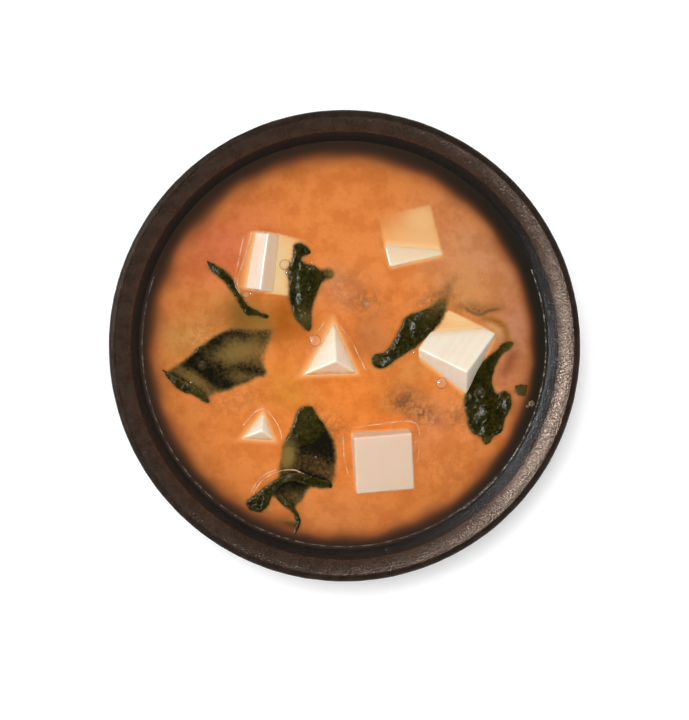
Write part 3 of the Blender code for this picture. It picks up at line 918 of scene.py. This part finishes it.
def soupMaterial():
    material, tree, shader = newMaterial("misoBroth")
    cloud = grain(tree, 170, 7.0, 0.62)
    fine = grain(tree, 1300, 4.0, 0.65)
    base = mark(tree, "tint", "Color")
    for amount, dimmer in ((spread(cloud, 0.40, 0.62, 0.0, 0.85), "cloudTint"),
                           (spread(fine, 0.52, 0.70, 0.0, 0.35), "grainTint")):
        base = blendColour(amount, base, blendColour(1.0, base, soup[dimmer], "MULTIPLY"))
    dregs, clear = mark(tree, "dregs"), mark(tree, "clear")
    loose = times(dregs, spread(grain(tree, 720, 6.0, 0.66), 0.38, 0.60))
    cube, shade = mark(tree, "tofuSeen"), mark(tree, "wallShade")
    flecked = added(mark(tree, "leafSeen"), times(spread(fine, 0.3, 0.7, 0.07, -0.07),
                                                  mark(tree, "leafNear")))
    pale = added(mark(tree, "leafPale"),
                 spread(grain(tree, 420, 6.0, 0.7), 0.30, 0.70, -0.14, 0.14))
    pale = added(pale, spread(fine, 0.3, 0.7, -0.06, 0.08))
    leaf = blendColour(spread(pale, 0.0, 1.1), soup["leafDark"], soup["leafPale"])
    for amount, colour in (
            (times(loose, 0.92), soup["dregsColour"]),
            (times(times(dregs, spread(fine, 0.48, 0.36)), 0.14), soup["dregsPale"]),
            (times(spread(cube, 0.04, 0.45), clear), soup["amberColour"]),
            (spread(cube, 0.12, 0.85), soup["glowColour"]),
            (spread(cube, 0.70, 1.05), soup["creamColour"]),
            (times(spread(cube, 0.22, 0.72), clear), soup["clearColour"]),
            (spread(flecked, 0.06, 0.52), soup["leafBrown"]),
            (spread(flecked, 0.26, 0.74), leaf),
            # painted shade at the wall, partly the dark glaze seen through shallow broth
            (spread(shade, 0.0, 0.75), soup["wallShadeBrown"]),
            (spread(shade, 0.45, 1.0), soup["wallShadeDark"]),
            (mark(tree, "farWallShade"), soup["wallShadeBlack"])):
        base = blendColour(amount, base, colour)
    fill(shader, {"Base Color": base, "Roughness": spread(cloud, 0.3, 0.7, 0.06, 0.11),
                  "IOR": 1.34, "Normal": bumps(fine, 0.01 * mm, 0.4)})
    return material


def soupBody(points, faces, border):
    # the surface and a coarse body under it, a little inside the wall's clay
    body = [(radius, height) for radius, height in insideRun(3) if height < soupLevel - 0.2 * mm]
    rings, verts = [list(border)], [tuple(p) for p in points]
    ways = points[border][:, :2] / np.linalg.norm(points[border][:, :2], axis=1)[:, None]
    for radius, height in body[:-1]:
        rings.append(list(range(len(verts), len(verts) + len(border))))
        verts += [(c * (radius + soup["intoWall"]), s * (radius + soup["intoWall"]),
                   height - 0.5 * soup["intoWall"]) for c, s in ways]
    every = [tuple(f) for f in faces]
    for upper, lower in zip(rings, rings[1:]):
        for i in range(len(border)):
            j = (i + 1) % len(border)
            every.append((upper[i], lower[i], lower[j], upper[j]))
    verts.append((0.0, 0.0, soupFloor - 0.2 * mm))
    end = rings[-1]
    every += [(end[i], len(verts) - 1, end[(i + 1) % len(end)]) for i in range(len(end))]
    return verts, every


def brothTint(x, y, inward, warp, warpY):
    tint = np.tile(np.array(soup["colour"]), (len(x), 1))
    for patch in soup["tints"]:
        weight = spotWeight(patch, x + warp, y + warpY)[:, None]
        tint = tint * (1 - weight) + np.array(patch["colour"]) * weight
    # painted shade: the broth dims within about 9 mm of the wall
    tint *= 1 - soup["wallShadeDimming"] * np.exp(-(inward / (9 * mm)) ** 2)[:, None]
    wobbled = np.column_stack([x + 0.12 * warp, y + 0.12 * warpY])
    for wide, strength, colour, run in soup["strokes"]:
        gap = toOutline(smoothRun(run, 5), wobbled / mm, closed=False)
        ends = np.min([np.linalg.norm(wobbled / mm - end, axis=1) for end in (run[0], run[-1])],
                      axis=0)
        weight = strength * np.exp(-(gap / wide) ** 2)
        weight = (weight * np.clip(0.15 + ends / 2.4, 0, 1))[:, None]       # fades at both ends
        tint = tint * (1 - weight) + np.array(colour) * weight
    return tint


def brothMarks(points, inward, warp, warpY):
    # what shows through the surface at each point
    x, y = points[:, 0], points[:, 1]
    dregs = np.zeros(len(points))
    for patch in soup["dregs"]:
        dregs = np.maximum(dregs, spotWeight(patch, x + 0.6 * warp, y + 0.6 * warpY))
    clear = np.clip(sum(spotWeight(patch, x, y) for patch in soup["clear"]), 0, 1)
    cubeTree = rayTree(tofuPieces)
    leafTree = BVHTree.FromPolygons(*joined(leafSkins))
    rays = 6
    near = np.column_stack([x, y, np.full(len(points), soupLevel)])
    sight, reach = soup["tofuSight"], soup["tofuReach"]
    tofuSeen = seenBelow(cubeTree, near, sight, coneTilts(0.20, rays), reach)
    far = seenBelow(cubeTree, near, 3.2 * sight, [(Vector((0, 0, -1)), 1.0)], reach)
    tofuSeen = soften(np.maximum(tofuSeen, far * clear * 0.95), 1)
    leafSeen = soften(seenBelow(leafTree, near, soup["leafSight"], coneTilts(0.35, rays),
                                soup["leafReach"]), 7)
    # painted shade at the wall, widest at the right and far side; partly the dark glaze seen
    # through shallow broth
    angle = np.arctan2(y, x)
    wide, right, away = soup["wallWidth"]
    width = (wide + right * np.cos(angle) + away * np.sin(angle)) * mm + 0.5 * warp
    aside = np.clip(np.cos(angle - math.radians(soup["farWallShadeSide"])), 0, 1) ** 1.5
    return {"dregs": dregs, "clear": clear, "tofuSeen": tofuSeen, "leafSeen": leafSeen,
            "leafNear": np.clip(leafSeen * 4, 0, 1), "leafPale": paleness(x, y),
            "wallShade": np.exp(-(inward / width) ** (2.2 + 0.8 * aside)),
            "farWallShade": 0.9 * aside * np.exp(-(inward / soup["farWallShadeWidth"]) ** 4)}


def makeSoup():
    points, faces, border, inward = soupSurface()
    verts, every = soupBody(points, faces, border)
    piece = makePiece("miso_soup", verts, every, soupMaterial())
    x, y = points[:, 0], points[:, 1]
    count = len(points)
    inward = np.clip(inward, 0, None)
    level = np.column_stack([x, y, 0 * x])
    warp, warpY = (2.5 * mm * noiseAt(level, 7 * mm, seed) for seed in (11, 12))
    full = np.ones((len(verts), 4))
    full[:count, :3] = brothTint(x, y, inward, warp, warpY)
    full[count:, :3] = soup["colour"]
    paint(piece, "tint", full, "FLOAT_COLOR")
    for name, values in brothMarks(points, inward, warp, warpY).items():
        below = np.full(len(verts) - count, values[border].mean())
        paint(piece, name, np.concatenate([values, below]))
    return piece


soupPiece = makeSoup()
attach(soupPiece, "root")
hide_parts("soup")
print("soup poured:", len(soupPiece.data.polygons), "faces")


# Bubbles and foam on the surface: place x, y and radius in millimetres

bubbles = {
    "single": [
        (25.1, -9.7, 1.5), (-7.3, 1.2, 1.6), (18.4, -25.0, 0.6), (-15.1, 20.7, 1.4),
        (-14.0, 18.7, 1.0), (-13.4, 21.6, 0.7), (-25.0, 13.0, 0.9), (-23.6, 13.2, 0.55),
        (-22.4, 13.4, 0.45), (-10.8, 7.6, 0.6), (-10.2, 6.2, 0.45), (14.3, 1.2, 0.45),
        (5.8, 10.5, 0.7), (17.4, -1.2, 0.4), (18.0, -1.9, 0.3), (48.2, -15.0, 0.8),
        (47.2, -15.7, 0.4), (-13.6, 16.2, 0.5), (-13.9, 14.6, 0.4), (-7.2, -28.6, 0.3),
        (-8.1, 21.2, 0.5), (20.2, -34.9, 0.3), (-38.9, -9.4, 0.3),
    ],
    "squash": 0.75,
    "lift": 0.1 * mm,
    "foam": {"middle": (-8.7, 18.2), "size": (2.3, 2.0), "count": 22, "radius": (0.22, 0.55)},
    # painted light: a pale centre, a dark ring and a bright rim stand in for the bubbles'
    # reflections and refraction
    "film": (0.95, 0.70, 0.42),
    "ring": (0.20, 0.10, 0.03),
    "rim": (0.95, 0.80, 0.58),
}


def bubbleMaterial():
    material, tree, shader = newMaterial("bubbleFilm")
    facing = addNode(tree, "LayerWeight", {"Blend": 0.35}).outputs["Facing"]
    # by how square-on each part faces the camera: pale painted centre, painted dark ring, painted
    # highlight on the rim
    film = blendColour(spread(facing, 0.20, 0.42), bubbles["film"], bubbles["ring"])
    fill(shader, {"Base Color": blendColour(spread(facing, 0.48, 0.66), film, bubbles["rim"]),
                  "Alpha": spread(facing, 0.05, 0.55, 0.15, 0.80), "Roughness": 0.05,
                  "IOR": 1.9})
    return material


def dome(radius, squash, rings=7, around=22):
    rows = [(radius * math.cos(a), squash * radius * math.sin(a))
            for a in np.linspace(-0.5, math.pi / 2, rings)]
    verts, faces = [], []
    for r, z in rows[:-1]:
        verts += [(r * math.cos(t), r * math.sin(t), z)
                  for t in np.linspace(0, 2 * math.pi, around, endpoint=False)]
    verts.append((0, 0, rows[-1][1]))
    for ring in range(rings - 2):
        for i in range(around):
            j = (i + 1) % around
            faces.append((ring * around + i, ring * around + j, (ring + 1) * around + j,
                          (ring + 1) * around + i))
    start = (rings - 2) * around
    faces += [(start + i, start + (i + 1) % around, len(verts) - 1) for i in range(around)]
    faces.append(tuple(range(around))[::-1])
    return np.array(verts), faces


def makeBubbles():
    chance = np.random.default_rng(7)
    foam = bubbles["foam"]
    places = list(bubbles["single"])
    for _ in range(foam["count"]):
        away = chance.normal(0, 0.5, 2) * foam["size"]
        places.append((foam["middle"][0] + away[0], foam["middle"][1] + away[1],
                       chance.uniform(*foam["radius"])))
    parts = []
    for x, y, radius in places:
        some, more = dome(radius * mm, bubbles["squash"])
        parts.append((some + np.array([x * mm, y * mm, soupLevel + bubbles["lift"]]), more))
    return makePiece("bubbles", *joined(parts), bubbleMaterial())


# Painted highlight lines: thin pale ribbons, barely raised, where the liquid meets the cubes, a
# leaf and the wall

highlightLines = {
    "width": 0.42 * mm,
    # painted highlight colour of the lines
    "colour": (0.95, 0.60, 0.34),
    "runs": [
        [(-0.2, -22.9), (0.1, -28.5), (1.1, -33.0)],
        [(1.6, -21.4), (6.1, -20.6), (11.2, -19.9), (16.2, -19.4), (18.8, -20.4), (19.5, -23.4),
         (19.3, -27.5), (18.5, -31.0)],
        [(-0.9, 4.9), (2.1, 0.8), (4.1, -3.2), (5.6, -6.3)],
        [(-5.0, 5.9), (-9.0, -0.2), (-9.3, -2.2)],
        [(-25.6, -20.4), (-23.0, -17.3), (-20.4, -16.3), (-17.8, -18.9), (-16.2, -22.0),
         (-15.9, -24.6)],
        [(-23.5, 29.1), (-25.1, 23.3), (-27.2, 16.6), (-26.6, 14.0)],
        [(-25.6, 28.0), (-26.9, 21.8), (-27.9, 16.0), (-26.6, 13.4)],
        [(-23.2, -37.9), (-20.6, -34.3), (-16.4, -32.2), (-12.8, -31.9), (-10.8, -32.7),
         (-8.4, -33.7)],
        [(-23.8, -37.6), (-21.2, -33.8), (-17.2, -31.7)],
    ],
    # painted glints along the bowl, only where the wet edge catches light
    "wallLines": [
        {"radius": 51.6, "turn": (160, 322), "share": 0.26},
        {"radius": 51.9, "turn": (306, 384), "share": 0.60},
        {"radius": 52.6, "turn": (318, 372), "share": 0.40},
    ],
    # painted glints on the wet edge of the wall
    "wallGlintColour": (0.62, 0.57, 0.50),
}


def highlightLineMaterial():
    material, tree, shader = newMaterial("paintedHighlightLine")
    atWall = mark(tree, "atWall")
    fade = spread(grain(tree, 300, 3.0), 0.35, 0.60, 0.15, 0.85)
    broken = spread(grain(tree, 560, 4.0, 0.7), 0.44, 0.60, 0.05, 1.1)
    # pale painted highlight lines, whiter broken glints at the wall
    fill(shader, {"Base Color": blendColour(atWall, highlightLines["colour"], highlightLines["wallGlintColour"]),
                  "Alpha": times(blendColour(atWall, fade, broken), mark(tree, "middle")),
                  "Roughness": 0.12})
    return material


def makeHighlightLines(surface):
    verts, faces, middle, cool = [], [], [], []
    runs = [(run, 1.0, 0.0) for run in highlightLines["runs"]]
    for wall in highlightLines["wallLines"]:
        turns = np.radians(np.arange(*wall["turn"], 4))
        runs.append(([(wall["radius"] * math.cos(t), wall["radius"] * math.sin(t))
                      for t in turns], wall["share"], 1.0))
    for run, share, atWall in runs:
        line = np.array(smoothRun(run, 8)) * mm
        along = np.gradient(line, axis=0)
        side = np.column_stack([-along[:, 1], along[:, 0]])
        side /= np.linalg.norm(side, axis=1)[:, None]
        start = len(verts)
        for place, way in zip(line, side):
            for step, lift in ((-0.5, 0.0), (0.0, 0.05 * mm), (0.5, 0.0)):
                x, y = place + way * step * highlightLines["width"]
                hit = surface.ray_cast(Vector((x, y, soupLevel + 8 * mm)), Vector((0, 0, -1)))[0]
                verts.append((x, y, (hit.z if hit else soupLevel) + 0.02 * mm + lift))
                middle.append(share if step == 0 else 0.15 * share)
                cool.append(atWall)
        for i in range(len(line) - 1):
            for j in range(2):
                a = start + 3 * i + j
                faces.append((a, a + 1, a + 4, a + 3))
    piece = makePiece("highlightLines", verts, [f[::-1] for f in faces], highlightLineMaterial())
    paint(piece, "middle", middle)
    paint(piece, "atWall", cool)
    return piece


highlightLinePiece = makeHighlightLines(rayTree([soupPiece]))
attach(highlightLinePiece, "root")

bubblePiece = makeBubbles()
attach(bubblePiece, "root")
print("bubbles blown")


# Studio: white floor, soft key from the left, low soft box, camera almost straight above

studio = {
    "width": 174.9 * mm,            # what the camera takes in at the rim's height
    "distance": 1.2,
    "lookAt": (-0.16 * mm, -3.54 * mm),
    "tilt": 2.3,                    # degrees off straight down, towards the far left
    "tiltTowards": 150.0,
    "air": {"zenith": 0.08, "horizon": 0.85, "side": (0.34, 1.30), "brightSide": 158.0},
    # azimuth, elevation, softness and strength: the key, a lamp almost overhead that lays the
    # narrow shadow beside the bowl, and two fills
    "suns": [(198, 38, 48, 0.78), (130, 82.3, 6.8, 1.64), (58, 34, 50, 0.69), (-40, 30, 60, 0.86)],
    # a soft box that only shows as a sheen on the rim and in wet things
    "box": {"azimuth": 163, "elevation": 32, "distance": 0.9, "size": 0.34, "power": 36.0},
    "floorSize": 6.0,
    "floorColours": ((0.90, 0.90, 0.90), (0.92, 0.92, 0.92)),
    "floorGlow": 0.17,
}


def direction(azimuth, elevation):
    a, e = math.radians(azimuth), math.radians(elevation)
    return Vector((math.cos(a) * math.cos(e), math.sin(a) * math.cos(e), math.sin(e)))


def makeFloor():
    material, tree, shader = newMaterial("paperFloor")
    fill(shader, {
        "Base Color": blendColour(grain(tree, 3.0, 2.0), *studio["floorColours"]),
        "Roughness": 0.9, "Specular IOR Level": 0.1, "Emission Color": (1.0, 1.0, 1.0),
        "Emission Strength": studio["floorGlow"]})
    far = studio["floorSize"]
    floor = makePiece("studio_floor", [(-far, -far, 0), (far, -far, 0), (far, far, 0),
                                       (-far, far, 0)], [(0, 1, 2, 3)], material, False)


def makeAir():
    air = studio["air"]
    world = bpy.data.worlds.new("studioAir")
    bpy.context.scene.world = world
    world.use_nodes = True
    sky = world.node_tree
    way = addNode(sky, "TexCoord").outputs["Generated"]

    def towards(aim):
        return addNode(sky, "VectorMath", {0: way, 1: aim},
                       operation="DOT_PRODUCT").outputs["Value"]

    low = spread(towards((0.0, 0.0, 1.0)), 0.20, 0.85, air["horizon"], 0.0)
    side = spread(towards(tuple(direction(air["brightSide"], 0))), 0.3, 1.0, *air["side"])
    fill(sky.nodes["Background"], {"Color": (1.0, 1.0, 1.0),
                                   "Strength": added(times(low, side), air["zenith"])})


def makeLamp(name, kind, way, **settings):
    lamp = bpy.data.objects.new(name, bpy.data.lights.new(name, kind))
    for key, value in settings.items():
        setattr(lamp.data, key, value)
    lamp.rotation_mode = "QUATERNION"
    lamp.rotation_quaternion = (-way).to_track_quat("-Z", "Y")
    bpy.context.scene.collection.objects.link(lamp)
    return lamp


def makeLamps():
    for number, (azimuth, elevation, softness, strength) in enumerate(studio["suns"]):
        sun = makeLamp(f"sun_{number}", "SUN", direction(azimuth, elevation), energy=strength,
                       angle=math.radians(softness))
        sun.visible_glossy = False
    box = studio["box"]
    way = direction(box["azimuth"], box["elevation"])
    soft = makeLamp("box_0", "AREA", way, shape="SQUARE", size=box["size"], energy=box["power"])
    soft.visible_diffuse = False
    soft.location = Vector((0, 0, soupLevel)) + way * box["distance"]


def makeCamera():
    lens = bpy.data.cameras.new("camera")
    lens.sensor_fit = "HORIZONTAL"
    lens.sensor_width = 36.0
    lens.lens = lens.sensor_width * studio["distance"] / studio["width"]
    lens.clip_start, lens.clip_end = 0.01, 50.0
    camera = bpy.data.objects.new("camera", lens)
    target = Vector((*studio["lookAt"], bowl["rimHeight"]))
    back = direction(studio["tiltTowards"], 90 - studio["tilt"])
    camera.location = target + back * studio["distance"]
    right = (-back).cross(Vector((0, 1, 0))).normalized()
    upward = right.cross(-back)
    camera.rotation_mode = "QUATERNION"
    camera.rotation_quaternion = Matrix((right, upward, back)).transposed().to_quaternion()
    bpy.context.scene.collection.objects.link(camera)
    bpy.context.scene.camera = camera


def makeStudio():
    makeFloor()
    makeAir()
    makeLamps()
    makeCamera()
    view = bpy.context.scene.view_settings
    view.view_transform = "Standard"
    view.look = "None"
    view.exposure = 0.0


makeStudio()
print("studio set")
